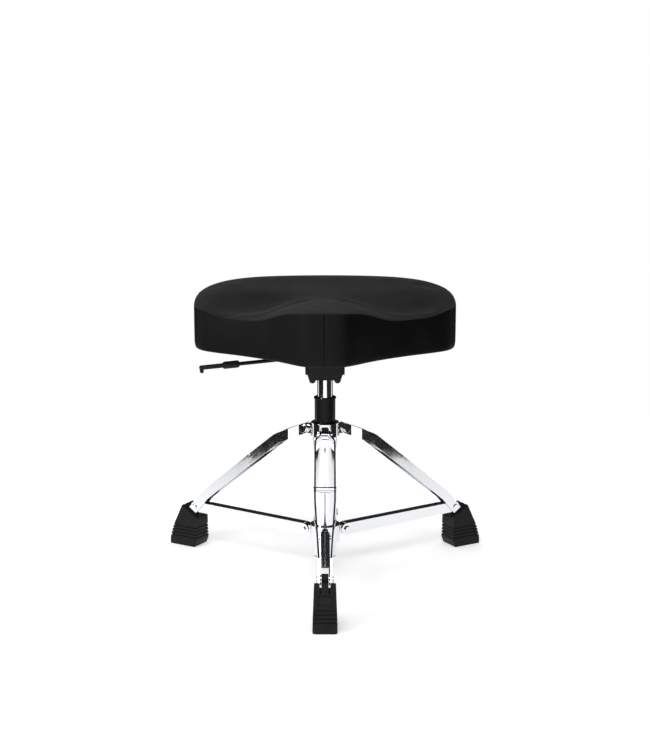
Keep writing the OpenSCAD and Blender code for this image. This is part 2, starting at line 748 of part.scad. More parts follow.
// ---- Braces ----
brace_in = [brace_r, brace_z];
brace_l = norm(rivet - brace_in);
brace_rise = atan2(rivet[1] - brace_z, rivet[0] - brace_r);
brace_h0 = 11;
brace_h1 = 9.5;
web_back = 40;
web_front = 3;
pin_fit = 0.1;
module brace_side() {
  // Drawn with the inner bolt at the origin and the foot's pivot along +X
  polygon([[0, -brace_h0], [brace_l, -brace_h1], [brace_l, brace_h1], [0, brace_h0]]);
  circle(r = brace_h0);
  translate([brace_l, 0]) circle(r = brace_h1);
}
module brace_web() {
  x1 = brace_l - web_back;
  z0 = brace_h0 - (brace_h0 - brace_h1) * web_front / brace_l;
  z1 = brace_h0 - (brace_h0 - brace_h1) * x1 / brace_l;
  polygon([[web_front, z0 - channel_t], [x1, z1 - channel_t], [x1, z1], [web_front, z0]]);
}
module brace(i) {
  side = (channel_w - channel_t) / 2;
  color("#d6d6d6") on_leg(i) translate([brace_r, 0, brace_z]) rotate([0, -brace_rise, 0]) difference() {
    union() {
      for (s = [-1, 1]) upright(s * side, channel_t) brace_side();
      upright(0, channel_w - channel_t) brace_web();
    }
    across(0, 0, brace_bolt_r + fit, -far, far);
    across(brace_l, 0, rivet_r + pin_fit, -far, far);
  }
}

seat_top_cover();
seat_side_cover();
foam_pad();
seat_board();
bottom_cloth();
tee_nuts();
seat_bolts();
seat_washers();
seat_plate();
lever_housing();
housing_caps();
lever_rod();
lever_sleeve();
lever_grip();
lever_pivot_pin();
gas_cylinder();
valve_button();
piston_rod();
upper_race();
bearing_balls();
lower_race();
bumper();
retaining_clip();
column_end_plate();
column_tube();
column_bushing();
base_tube();
base_plug();
upper_collar();
hinge_bolts();
lower_collar();
brace_bolts();
wing_bolt();
for (i = [0 : 2]) {
  strip(i, 0);
  strip(i, 1);
  leg_spacer(i);
  foot_rivets(i);
  foot(i);
  foot_pin(i);
  brace(i);
}
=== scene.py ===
"""Drum throne with a saddle seat: the looks of its pieces, the studio round it and its camera."""

import json
import math

import bpy
from bpy.props import FloatProperty, FloatVectorProperty, IntProperty, PointerProperty
from mathutils import Matrix, Vector
from mathutils.bvhtree import BVHTree

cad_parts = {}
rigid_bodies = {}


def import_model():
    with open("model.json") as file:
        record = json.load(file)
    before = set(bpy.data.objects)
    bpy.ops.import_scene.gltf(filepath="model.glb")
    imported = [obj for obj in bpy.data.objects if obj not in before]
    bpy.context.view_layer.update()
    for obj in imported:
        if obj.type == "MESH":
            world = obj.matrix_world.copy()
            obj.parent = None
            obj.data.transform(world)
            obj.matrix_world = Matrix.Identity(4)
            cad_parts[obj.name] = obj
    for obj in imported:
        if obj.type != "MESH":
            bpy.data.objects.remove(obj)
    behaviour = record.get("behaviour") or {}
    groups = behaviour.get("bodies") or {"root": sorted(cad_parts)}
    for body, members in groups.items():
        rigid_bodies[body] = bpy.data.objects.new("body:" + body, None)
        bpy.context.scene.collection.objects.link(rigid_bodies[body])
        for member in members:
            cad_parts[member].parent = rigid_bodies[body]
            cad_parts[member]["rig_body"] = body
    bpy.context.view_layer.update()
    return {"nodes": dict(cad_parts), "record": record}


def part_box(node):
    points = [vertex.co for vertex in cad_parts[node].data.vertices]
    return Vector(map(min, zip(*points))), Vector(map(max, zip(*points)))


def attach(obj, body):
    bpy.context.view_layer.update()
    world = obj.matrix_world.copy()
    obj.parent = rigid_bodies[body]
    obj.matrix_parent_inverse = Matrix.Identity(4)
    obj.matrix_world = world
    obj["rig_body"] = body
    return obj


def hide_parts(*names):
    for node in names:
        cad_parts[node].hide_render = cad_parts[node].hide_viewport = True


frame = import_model()

bl_info = {
    "name": "Drum Throne",
    "version": (1, 0, 0),
    "blender": (4, 5, 0),
    "location": "View3D > Sidebar > Drum Throne",
    "description": "Builds the upholstery, fittings and studio of a drum throne",
    "category": "Object",
}

MM = 0.001
DOWN = Vector((0, 0, -1))
QUARTER_TURN = math.pi / 2


# ---------------------------------------------------------------- helpers


def node(name):
    """The CAD node's object."""
    return frame["nodes"][name]


def middle(name):
    """The middle of a node's box."""
    low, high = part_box(name)
    return (Vector(low) + Vector(high)) / 2


# The column's axis, and the point of the plan that the seat's mesh rows close in on
AXIS = middle("base_tube")
HEART = Vector((AXIS.x, AXIS.y + 20 * MM))
SEAT_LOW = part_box("seat_side_cover")[0][2]
SEAT_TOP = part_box("seat_top_cover")[1][2]


def deselect_all():
    """Leaves nothing selected."""
    for obj in bpy.context.view_layer.objects:
        obj.select_set(False)


def only(obj):
    """Makes one object the selected and active one."""
    deselect_all()
    obj.select_set(True)
    bpy.context.view_layer.objects.active = obj


def paint(obj, material):
    """Gives the whole object one material."""
    obj.data.materials.clear()
    obj.data.materials.append(material)


def apply_modifiers(obj):
    """Applies the object's modifiers in order."""
    only(obj)
    for name in [m.name for m in obj.modifiers]:
        bpy.ops.object.modifier_apply(modifier=name)


def smooth_by_angle(obj, degrees):
    """Shades smooth, with edges sharper than the angle left crisp."""
    only(obj)
    bpy.ops.object.shade_smooth_by_angle(angle=math.radians(degrees))


def edit_all(obj):
    """Enters edit mode with every vertex selected."""
    only(obj)
    bpy.ops.object.mode_set(mode="EDIT")
    bpy.ops.mesh.select_mode(type="VERT")
    bpy.ops.mesh.select_all(action="SELECT")


def leave_edit():
    """Returns to object mode."""
    bpy.ops.object.mode_set(mode="OBJECT")


def at_origin(obj):
    """Moves the object's place into its mesh."""
    only(obj)
    bpy.ops.object.transform_apply(location=True, rotation=True, scale=True)


def select_faces(obj, test):
    """In edit mode, selects only the faces whose centre and normal pass the test."""
    bpy.ops.mesh.select_mode(type="FACE")
    bpy.ops.mesh.select_all(action="DESELECT")
    leave_edit()
    for face in obj.data.polygons:
        face.select = test(face.center, face.normal)
    bpy.ops.object.mode_set(mode="EDIT")


# Two bevel segments turn a square edge in steps of 22.5 degrees, which has to stay above SMOOTH_BELOW
BEVEL_SEGMENTS = 2
BEVEL_ABOVE = 35
SMOOTH_BELOW = 18
FLAT_WITHIN = 0.6
MERGE_WITHIN = 0.002 * MM


def softened(name, width, material):
    """A copy of a CAD node with its sharp edges broken, which stands for the node."""
    source = node(name)
    obj = bpy.data.objects.new(name + "_finished", source.data.copy())
    bpy.context.scene.collection.objects.link(obj)
    only(obj)
    bpy.ops.mesh.customdata_custom_splitnormals_clear()
    edit_all(obj)
    bpy.ops.mesh.remove_doubles(threshold=MERGE_WITHIN)
    bpy.ops.mesh.dissolve_limited(angle_limit=math.radians(FLAT_WITHIN))
    leave_edit()
    bevel = obj.modifiers.new("edges", "BEVEL")
    bevel.width = width
    bevel.segments = BEVEL_SEGMENTS
    bevel.limit_method = "ANGLE"
    bevel.angle_limit = math.radians(BEVEL_ABOVE)
    bevel.use_clamp_overlap = True
    apply_modifiers(obj)
    smooth_by_angle(obj, SMOOTH_BELOW)
    paint(obj, material)
    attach(obj, source["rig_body"])
    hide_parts(name)
    return obj


# ---------------------------------------------------------------- materials


class Finish:
    """A material being made, with its patterns in the object's own metres."""

    def __init__(self, name, colour, metallic, roughness):
        self.material = bpy.data.materials.new(name)
        self.material.use_nodes = True
        self.nodes = self.material.node_tree.nodes
        self.links = self.material.node_tree.links
        self.shader = self.nodes["Principled BSDF"]
        self.colour = colour
        self.set("Base Color", (*colour, 1))
        self.set("Metallic", metallic)
        self.set("Roughness", roughness)

    def set(self, socket, value):
        """Sets one of the shader's own values."""
        self.shader.inputs[socket].default_value = value

    def coordinates(self, stretch=None):
        """The object's coordinates, scaled along each axis if a stretch is given."""
        coords = self.nodes.new("ShaderNodeTexCoord").outputs["Object"]
        if stretch is None:
            return coords
        mapping = self.nodes.new("ShaderNodeMapping")
        mapping.inputs["Scale"].default_value = stretch
        self.links.new(coords, mapping.inputs["Vector"])
        return mapping.outputs["Vector"]

    def noise(self, scale, detail=3, rough=0.5, stretch=None):
        """A noise pattern; scale is in cycles per metre."""
        texture = self.nodes.new("ShaderNodeTexNoise")
        texture.inputs["Scale"].default_value = scale
        texture.inputs["Detail"].default_value = detail
        texture.inputs["Roughness"].default_value = rough
        self.links.new(self.coordinates(stretch), texture.inputs["Vector"])
        return texture.outputs["Fac"]

    def cells(self, scale, feature="F1"):
        """A cell pattern; scale is in cells per metre."""
        texture = self.nodes.new("ShaderNodeTexVoronoi")
        texture.feature = feature
        texture.inputs["Scale"].default_value = scale
        self.links.new(self.coordinates(), texture.inputs["Vector"])
        return texture.outputs["Distance"]

    def threads(self, direction, scale, distortion):
        """Even bands across one axis."""
        texture = self.nodes.new("ShaderNodeTexWave")
        texture.bands_direction = direction
        texture.inputs["Scale"].default_value = scale
        texture.inputs["Distortion"].default_value = distortion
        self.links.new(self.coordinates(), texture.inputs["Vector"])
        return texture.outputs["Fac"]

    def summed(self, first, second, weight):
        """Adds a weighted second pattern to the first."""
        add = self.nodes.new("ShaderNodeMath")
        add.operation = "MULTIPLY_ADD"
        self.links.new(second, add.inputs[0])
        add.inputs[1].default_value = weight
        self.links.new(first, add.inputs[2])
        return add.outputs["Value"]

    def ranged(self, pattern, low, high, start=0.3, end=0.7):
        """Maps a pattern's values from start to end onto low to high."""
        remap = self.nodes.new("ShaderNodeMapRange")
        remap.inputs["From Min"].default_value = start
        remap.inputs["From Max"].default_value = end
        remap.inputs["To Min"].default_value = low
        remap.inputs["To Max"].default_value = high
        self.links.new(pattern, remap.inputs["Value"])
        return remap.outputs["Result"]

    def roughen(self, pattern, low, high, start=0.3, end=0.7):
        """Varies the roughness from low to high by a pattern."""
        self.links.new(self.ranged(pattern, low, high, start, end), self.shader.inputs["Roughness"])

    def tint(self, pattern, dark, light):
        """Varies the base colour by a pattern, from its dark to its light multiple."""
        mix = self.nodes.new("ShaderNodeMix")
        mix.data_type = "RGBA"
        mix.inputs["A"].default_value = (*shade(self.colour, dark), 1)
        mix.inputs["B"].default_value = (*shade(self.colour, light), 1)
        self.links.new(pattern, mix.inputs["Factor"])
        self.links.new(mix.outputs["Result"], self.shader.inputs["Base Color"])

    def emboss(self, pattern, strength, distance):
        """Raises the surface by a pattern; distance is in metres."""
        relief = self.nodes.new("ShaderNodeBump")
        relief.inputs["Strength"].default_value = strength
        relief.inputs["Distance"].default_value = distance
        self.links.new(pattern, relief.inputs["Height"])
        self.links.new(relief.outputs["Normal"], self.shader.inputs["Normal"])


def shade(colour, factor):
    """A lighter or darker colour."""
    return tuple(min(1.0, channel * factor) for channel in colour)


def velour(colour):
    """Short-napped fabric: brushed patches, fine pile and a soft sheen."""
    finish = Finish("black_velour", colour, metallic=0, roughness=0.92)
    brushed = finish.noise(14, detail=4, rough=0.55)
    pile = finish.noise(2600, detail=2, rough=0.6)
    both = finish.summed(brushed, pile, weight=0.35)
    finish.tint(finish.ranged(both, 0, 1, start=0.4, end=0.95), dark=0.72, light=1.35)
    finish.set("Sheen Weight", 0.05)
    finish.set("Sheen Roughness", 0.45)
    finish.set("Specular IOR Level", 0.12)
    finish.emboss(finish.summed(pile, brushed, weight=0.6), strength=0.5, distance=0.0004)
    return finish.material


def vinyl(colour):
    """Upholstery vinyl with a fine pebble grain."""
    finish = Finish("black_vinyl", colour, metallic=0, roughness=0.5)
    pebble = finish.cells(900, "SMOOTH_F1")
    crease = finish.cells(420, "DISTANCE_TO_EDGE")
    patches = finish.noise(22)
    finish.roughen(patches, 0.42, 0.56)
    finish.tint(patches, dark=0.85, light=1.2)
    finish.set("Specular IOR Level", 0.16)
    finish.emboss(finish.summed(pebble, crease, weight=-0.6), strength=0.35, distance=0.00025)
    return finish.material


def chrome(colour):
    """Polished chrome plate with hairline polish marks and a few duller patches."""
    finish = Finish("polished_chrome", colour, metallic=1, roughness=0.06)
    haze = finish.noise(60, detail=4, rough=0.6)
    hairlines = finish.noise(1800, detail=2, stretch=(1, 1, 0.06))
    finish.roughen(finish.summed(haze, hairlines, weight=0.4), 0.03, 0.11, start=0.4, end=1.0)
    finish.emboss(hairlines, strength=0.008, distance=0.00005)
    return finish.material


def steel(name, colour, roughness):
    """Ground or plated steel with fine turning marks."""
    finish = Finish(name, colour, metallic=1, roughness=roughness)
    marks = finish.noise(900, rough=0.6, stretch=(1, 1, 9))
    finish.roughen(finish.noise(120), roughness * 0.7, roughness * 1.3)
    finish.tint(marks, dark=0.8, light=1.08)
    finish.emboss(marks, strength=0.12, distance=0.0001)
    return finish.material


def coated(colour):
    """Satin powder coat with a slight orange peel."""
    finish = Finish("black_coat", colour, metallic=0, roughness=0.34)
    patches = finish.noise(45)
    finish.roughen(patches, 0.27, 0.42)
    finish.tint(patches, dark=0.8, light=1.3)
    finish.set("Specular IOR Level", 0.2)
    finish.emboss(finish.noise(700, detail=2), strength=0.14, distance=0.0002)
    return finish.material


def moulded(name, colour, roughness, grain, depth):
    """Moulded plastic or rubber with a fine spark-eroded grain."""
    finish = Finish(name, colour, metallic=0, roughness=roughness)
    patches = finish.noise(55, detail=4, rough=0.6)
    finish.roughen(patches, roughness * 0.85, roughness * 1.15)
    finish.tint(patches, dark=0.75, light=1.4)
    finish.set("Specular IOR Level", 0.16)
    finish.emboss(finish.noise(grain, rough=0.6), strength=0.4, distance=depth)
    return finish.material


def foam_rubber():
    """Open-celled cream foam."""
    finish = Finish("cream_foam", (0.72, 0.63, 0.38), metallic=0, roughness=0.9)
    finish.tint(finish.noise(30, detail=4), dark=0.85, light=1.1)
    finish.emboss(finish.cells(900), strength=0.6, distance=0.0005)
    return finish.material


def plywood():
    """Birch plywood: long grain on its face and thin plies on its edge."""
    finish = Finish("birch_ply", (0.55, 0.38, 0.21), metallic=0, roughness=0.6)
    grain = finish.noise(12, detail=5, rough=0.6, stretch=(1, 14, 90))
    finish.tint(grain, dark=0.6, light=1.25)
    finish.emboss(grain, strength=0.3, distance=0.0003)
    return finish.material


def dust_cloth():
    """Thin black cloth with a plain weave."""
    finish = Finish("black_cloth", (0.016, 0.016, 0.017), metallic=0, roughness=0.85)
    warp, weft = (finish.threads(direction, scale=320, distortion=0.4) for direction in ("X", "Y"))
    finish.tint(warp, dark=0.7, light=1.4)
    finish.emboss(finish.summed(warp, weft, weight=1), strength=0.5, distance=0.0003)
    return finish.material


# The finish of each of the record's material slots
FINISHES = {}


def make_finishes(settings):
    """Makes every finish once."""
    FINISHES["velour"] = velour(settings.velour_colour)
    FINISHES["vinyl"] = vinyl(settings.vinyl_colour)
    FINISHES["chrome"] = chrome(settings.chrome_colour)
    FINISHES["zinc"] = steel("bright_zinc", (0.62, 0.63, 0.65), 0.25)
    FINISHES["steel"] = steel("ground_steel", (0.5, 0.51, 0.53), 0.3)
    FINISHES["black_metal"] = coated(settings.coat_colour)
    FINISHES["black_plastic"] = moulded("black_nylon", settings.plastic_colour, 0.42, 1500, 0.00012)
    FINISHES["rubber"] = moulded("black_rubber", settings.rubber_colour, 0.55, 1100, 0.00025)
    FINISHES["foam"] = foam_rubber()
    FINISHES["plywood"] = plywood()
    FINISHES["dust_cloth"] = dust_cloth()


# ---------------------------------------------------------------- settings


class ThroneSeat(bpy.types.PropertyGroup):
    """Sizes of the upholstery."""

    around: IntProperty(name="Stations", description="Mesh columns round the seat", default=200, min=120)
    side_rows: IntProperty(name="Side rows", description="Mesh rows up the side panel", default=12, min=8)
    top_rings: IntProperty(name="Top rings", description="Mesh rings across the top panel", default=14, min=8)
    tuck: FloatProperty(name="Tuck", description="How far a seam is drawn in", default=0.0016, unit="LENGTH")
    bulge: FloatProperty(name="Bulge", description="Most that a panel may swell", default=0.004,
                         unit="LENGTH")
    pressure: FloatProperty(name="Pressure", description="Pressure that fills the cover", default=4.0)


class ThroneColours(bpy.types.PropertyGroup):
    """Colours of the finishes."""

    velour_colour: FloatVectorProperty(name="Velour", description="Top panel", subtype="COLOR",
                                       default=(0.0105, 0.0105, 0.0107))
    vinyl_colour: FloatVectorProperty(name="Vinyl", description="Side panel", subtype="COLOR",
                                      default=(0.0022, 0.0022, 0.0022))
    chrome_colour: FloatVectorProperty(name="Chrome", description="Plated parts", subtype="COLOR",
                                       default=(0.83, 0.84, 0.86))
    coat_colour: FloatVectorProperty(name="Coating", description="Powder-coated parts", subtype="COLOR",
                                     default=(0.003, 0.003, 0.0031))
    plastic_colour: FloatVectorProperty(name="Plastic", description="Moulded nylon parts", subtype="COLOR",
                                        default=(0.008, 0.008, 0.0082))
    rubber_colour: FloatVectorProperty(name="Rubber", description="Feet", subtype="COLOR",
                                       default=(0.010, 0.010, 0.010))


class ThroneStudio(bpy.types.PropertyGroup):
    """The studio and its camera."""

    lens: FloatProperty(name="Lens", description="Focal length in millimetres", default=82.1)
    distance: FloatProperty(name="Distance", description="Camera from the column", default=3.008,
                            unit="LENGTH")
    height: FloatProperty(name="Height", description="Camera above the floor", default=1.043, unit="LENGTH")
    reflected: FloatVectorProperty(name="Reflected sky", description="Sky that polished parts mirror",
                                   subtype="COLOR", default=(0.02, 0.02, 0.021))
    tilt: FloatProperty(name="Tilt", description="How far the camera looks down", subtype="ANGLE",
                        default=math.radians(12.69))


# ---------------------------------------------------------------- seat


# Mesh columns beside an upright seam, and the distance from it that even columns keep
SEAM_OFFSETS = (-2.6 * MM, -1.2 * MM, 0.0, 1.2 * MM, 2.6 * MM)
SEAM_CLEAR = 4.5 * MM
# Half-width of an upright seam's furrow
SEAM_FURROW = 1.3 * MM
# A face whose normal rises less than this stands upright, and one below FACES_DOWN looks down
STANDS_UPRIGHT = 0.01
FACES_DOWN = -0.9
# The cover's open middle under the board is somewhere inside this distance of the heart
UNDER_MIDDLE = 30 * MM
# Corners of the rim closer than this in plan are one corner
SAME_CORNER = 1 * MM
# The grid that fills the top needs the columns in four equal sides
GRID_SIDES = 4
# How far above the seat a surface is looked for
LOOK_FROM = 0.1
CLOTH_QUALITY = 4
CLOTH_STIFFNESS = 25
CLOTH_BENDING = 8
CLOTH_STEPS = 20
# How firmly the points beside an upright seam are held while the cover fills
SEAM_HOLD = 0.9
CLOTH_THICKNESS = 1.1 * MM
PANEL_SMOOTH_BELOW = 50
# Staples: length, width and height, spacing, share of the seat's reach, and depth below the cover's edge
STAPLE_SIZE = (10 * MM, 1.2 * MM, 0.6 * MM)
STAPLE_PITCH = 28 * MM
STAPLE_SHARE = 0.945
STAPLE_DROP = 0.7 * MM


def rim_points():
    """The corners of the top panel's edge, in order round the seat."""
    mesh = node("seat_top_cover").data
    upright = [face for face in mesh.polygons if abs(face.normal.z) < STANDS_UPRIGHT]
    rim = {vertex for face in upright for vertex in face.vertices}
    corners = sorted((mesh.vertices[i].co.copy() for i in rim),
                     key=lambda p: math.atan2(p.y - HEART.y, p.x - HEART.x))
    loop = []
    for corner in corners:
        if not loop or (corner.xy - loop[-1].xy).length > SAME_CORNER:
            loop.append(corner)
        elif corner.z > loop[-1].z:
            loop[-1] = corner
    if (loop[0].xy - loop[-1].xy).length < SAME_CORNER:
        loop.pop()
    return loop


def curved(a, b, c, d, t):
    """A point between b and c on a smooth curve through four points."""
    bend = 2 * a - 5 * b + 4 * c - d
    twist = 3 * b - a - 3 * c + d
    return 0.5 * (2 * b + (c - a) * t + bend * t * t + twist * t ** 3)


def stations(total, seams, count):
    """Even distances round the outline, closer together where a seam runs up the side."""
    while True:
        even = [total * i / count for i in range(count)]
        clear = [d for d in even if all(abs(d - s) > SEAM_CLEAR for s in seams)]
        found = sorted(clear + [s + offset for s in seams for offset in SEAM_OFFSETS])
        if len(found) % GRID_SIDES == 0:
            return found
        count += 1


def seat_outline(count):
    """Points along the top panel's seam, and how far each is from the nearest upright seam."""
    loop = rim_points()
    total = len(loop)
    lengths = [0.0]
    seams = []
    for k, a in enumerate(loop):
        b = loop[(k + 1) % total]
        lengths.append(lengths[-1] + (b - a).length)
        if (a.x > AXIS.x) != (b.x > AXIS.x):
            t = (AXIS.x - a.x) / (b.x - a.x)
            seams.append(lengths[k] + (lengths[k + 1] - lengths[k]) * t)
    points, gaps = [], []
    segment = 0
    for wanted in stations(lengths[-1], seams, count):
        while lengths[segment + 1] < wanted:
            segment += 1
        t = (wanted - lengths[segment]) / (lengths[segment + 1] - lengths[segment])
        around = [loop[(segment + step) % total] for step in (-1, 0, 1, 2)]
        points.append(curved(*around, t))
        gaps.append(min(abs(wanted - seam) for seam in seams))
    return points, gaps


def eased(heights, rounds=8):
    """Heights along a closed line with their sharp changes smoothed."""
    for _ in range(rounds):
        heights = [(heights[i - 1] + 2 * heights[i] + heights[(i + 1) % len(heights)]) / 4
                   for i in range(len(heights))]
    return heights


def surface_height(tree, spot):
    """Height of a surface over a point of the plan."""
    hit = tree.ray_cast(Vector((spot.x, spot.y, SEAT_TOP + LOOK_FROM)), DOWN)
    if hit[0] is None:
        raise RuntimeError("the seat's top surface isn't over its outline")
    return hit[0].z


class SeatShell:
    """The cover of the seat, its mesh rows in order from under the board to the middle of the top."""

    # Shares of the seat's reach: the rows under the board, the side's edge and the innermost ring of the top
    WRAPS = (0.90, 0.94, 0.97, 0.985)
    EDGE = 0.998
    INNER = 0.6
    # How the rings crowd towards the edge
    CROWDING = 1.6
    # The top's start below its CAD surface, which leaves it room to swell
    SINK = 0.2 * MM
    # Heights of the wrap's innermost row, its other rows and the side's foot from the seat's lowest level
    HEM_RISE = 0.5 * MM
    WRAP_DROP = 0.3 * MM
    FOOT_RISE = 1.5 * MM
    # The rounding at the side's foot: its depth as a share of reach, and its height as a share of the side's
    CORNER_DEPTH = 0.006
    CORNER_HEIGHT = 1 / 8

    def __init__(self, settings):
        self.settings = settings
        points, self.gaps = seat_outline(settings.around)
        self.outline = [p.xy for p in points]
        self.seam_heights = eased([p.z for p in points])
        self.count = len(points)
        self.tree = BVHTree.FromObject(node("seat_top_cover"), bpy.context.evaluated_depsgraph_get())
        deselect_all()
        bpy.ops.mesh.primitive_circle_add(vertices=self.count, radius=0.2, fill_type="NGON")
        self.obj = bpy.context.object
        self.rows = [list(range(self.count))]

    def place(self, share, heights):
        """Puts the last row on the outline, drawn in to a share of its reach."""
        for i, index in enumerate(self.rows[-1]):
            spot = HEART + (self.outline[i] - HEART) * share
            self.obj.data.vertices[index].co = (spot.x, spot.y, heights[i])

    def extrude(self):
        """Extrudes the end face into a new row."""
        bpy.ops.object.mode_set(mode="EDIT")
        bpy.ops.mesh.extrude_region_move()
        leave_edit()
        total = len(self.obj.data.vertices)
        self.rows.append(list(range(total - self.count, total)))

    def draw(self):
        """Draws the wrap under the board, the side, and the top panel."""
        self.place(self.WRAPS[0], [SEAT_LOW + self.HEM_RISE] * self.count)
        for share in self.WRAPS[1:]:
            self.extrude()
            self.place(share, [SEAT_LOW - self.WRAP_DROP] * self.count)
        self.bottom_row = len(self.rows)
        foot = SEAT_LOW + self.FOOT_RISE
        for row in range(self.settings.side_rows + 1):
            self.extrude()
            t = row / self.settings.side_rows
            corner = self.CORNER_DEPTH * max(0.0, 1 - t / self.CORNER_HEIGHT) ** 2
            self.place(self.EDGE - corner, [foot + (top - foot) * t for top in self.seam_heights])
        self.seam_row = len(self.rows) - 1
        for ring in range(1, self.settings.top_rings + 1):
            inward = (ring / self.settings.top_rings) ** self.CROWDING
            share = self.EDGE * (1 - (1 - self.INNER) * inward)
            spots = [HEART + (p - HEART) * share for p in self.outline]
            self.extrude()
            self.place(share, [surface_height(self.tree, p) - self.SINK for p in spots])
        self.fill_middle()
        edit_all(self.obj)
        bpy.ops.mesh.normals_make_consistent(inside=False)
        leave_edit()

    def fill_middle(self):
        """Fills the innermost ring with an even grid that lies on the top surface."""
        bpy.ops.object.mode_set(mode="EDIT")
        bpy.ops.mesh.delete(type="ONLY_FACE")
        bpy.ops.mesh.select_all(action="DESELECT")
        leave_edit()
        for index in self.rows[-1]:
            self.obj.data.vertices[index].select = True
        bpy.ops.object.mode_set(mode="EDIT")
        bpy.ops.mesh.fill_grid(span=self.count // GRID_SIDES)
        leave_edit()
        for vertex in self.obj.data.vertices[self.rows[-1][-1] + 1:]:
            vertex.co.z = surface_height(self.tree, vertex.co) - self.SINK

    def ease_top(self, rounds=12):
        """Smooths the top panel's own facets."""
        start = self.rows[self.seam_row + 2][0]
        only(self.obj)
        bpy.ops.object.mode_set(mode="EDIT")
        bpy.ops.mesh.select_mode(type="VERT")
        bpy.ops.mesh.select_all(action="DESELECT")
        leave_edit()
        for vertex in self.obj.data.vertices:
            vertex.select = vertex.index >= start
        bpy.ops.object.mode_set(mode="EDIT")
        bpy.ops.mesh.vertices_smooth(factor=0.5, repeat=rounds)
        leave_edit()

    def swell(self):
        """Fills the cover with pressure between its seams, then limits how far any point has moved."""
        held = self.obj.vertex_groups.new(name="seams")
        for number, row in enumerate(self.rows):
            if number <= self.bottom_row or number == self.seam_row:
                held.add(row, 1.0, "REPLACE")
        for number in range(self.bottom_row, self.seam_row):
            for i, index in enumerate(self.rows[number]):
                if self.gaps[i] < SEAM_OFFSETS[-1]:
                    held.add([index], SEAM_HOLD, "REPLACE")
        before = [(v.co.copy(), v.normal.copy()) for v in self.obj.data.vertices]
        cloth = self.obj.modifiers.new("fill", "CLOTH")
        cloth.settings.quality = CLOTH_QUALITY
        cloth.settings.use_pressure = True
        cloth.settings.uniform_pressure_force = self.settings.pressure
        cloth.settings.tension_stiffness = CLOTH_STIFFNESS
        cloth.settings.compression_stiffness = CLOTH_STIFFNESS
        cloth.settings.bending_stiffness = CLOTH_BENDING
        cloth.settings.effector_weights.gravity = 0
        cloth.settings.vertex_group_mass = "seams"
        for step in range(1, CLOTH_STEPS + 1):
            bpy.context.scene.frame_set(step)
        apply_modifiers(self.obj)
        bpy.context.scene.frame_set(1)
        for vertex, (start, outward) in zip(self.obj.data.vertices, before):
            swollen = (vertex.co - start).dot(outward)
            vertex.co = start + outward * min(max(swollen, 0.0), self.settings.bulge)

    def draw_in_seams(self):
        """Sinks the upright seams at the nose and the back."""
        for number in range(self.bottom_row, self.seam_row + 1):
            for i, index in enumerate(self.rows[number]):
                depth = self.settings.tuck * math.exp(-((self.gaps[i] / SEAM_FURROW) ** 2))
                vertex = self.obj.data.vertices[index]
                inward = (HEART - Vector((vertex.co.x, vertex.co.y))).normalized()
                vertex.co.x += inward.x * depth
                vertex.co.y += inward.y * depth

    def part(self):
        """Opens the cover under the board and parts it along its seam into the side and top panels."""
        limit = self.rows[self.seam_row][0]
        only(self.obj)
        bpy.ops.object.mode_set(mode="EDIT")
        select_faces(self.obj, lambda spot, normal: normal.z < FACES_DOWN
                     and (spot.xy - HEART).length < UNDER_MIDDLE)
        bpy.ops.mesh.delete(type="FACE")
        bpy.ops.mesh.select_mode(type="FACE")
        bpy.ops.mesh.select_all(action="DESELECT")
        leave_edit()
        for face in self.obj.data.polygons:
            face.select = min(face.vertices) >= limit
        bpy.ops.object.mode_set(mode="EDIT")
        bpy.ops.mesh.separate(type="SELECTED")
        leave_edit()
        top = next(o for o in bpy.context.selected_objects if o is not self.obj)
        return self.obj, top


def finish_panel(panel, name, finish, cad_node):
    """Gives a panel one subdivision, its cloth's thickness and its finish."""
    panel.name = name
    panel.data.name = name
    panel.vertex_groups.clear()
    fine = panel.modifiers.new("fine", "SUBSURF")
    fine.levels = 1
    fine.render_levels = 1
    wall = panel.modifiers.new("cloth", "SOLIDIFY")
    wall.thickness = CLOTH_THICKNESS
    wall.offset = -1
    apply_modifiers(panel)
    smooth_by_angle(panel, PANEL_SMOOTH_BELOW)
    paint(panel, FINISHES[finish])
    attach(panel, "seat")
    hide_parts(cad_node)


def joined(parts, name, finish, body):
    """Joins copies into one piece."""
    deselect_all()
    for part in parts:
        part.select_set(True)
    bpy.context.view_layer.objects.active = parts[0]
    bpy.ops.object.join()
    piece = bpy.context.object
    at_origin(piece)
    piece.name = name
    paint(piece, FINISHES[finish])
    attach(piece, body)
    return piece


def along_loop(points, pitch):
    """Places and directions spaced along a closed loop."""
    closed = points + [points[0]]
    total = sum((b - a).length for a, b in zip(closed, closed[1:]))
    count = int(total / pitch)
    found = []
    travelled, segment = 0.0, 0
    step = (closed[1] - closed[0]).length
    for k in range(count):
        wanted = total * k / count
        while travelled + step < wanted:
            travelled += step
            segment += 1
            step = (closed[segment + 1] - closed[segment]).length
        a, b = closed[segment], closed[segment + 1]
        found.append((a.lerp(b, (wanted - travelled) / step), (b - a).normalized()))
    return found


def copies_along(master, places, heart):
    """Copies a small piece to each place, its X along the loop and its Y outward."""
    parts = []
    for spot, along in places:
        outward = spot - heart
        outward.z = 0
        outward = (outward - along * outward.dot(along)).normalized()
        up = along.cross(outward)
        copy = master.copy()
        copy.data = master.data.copy()
        bpy.context.scene.collection.objects.link(copy)
        basis = Matrix((along, outward, up)).transposed().to_4x4()
        copy.matrix_world = Matrix.Translation(spot) @ basis
        parts.append(copy)
    bpy.data.objects.remove(master)
    return parts


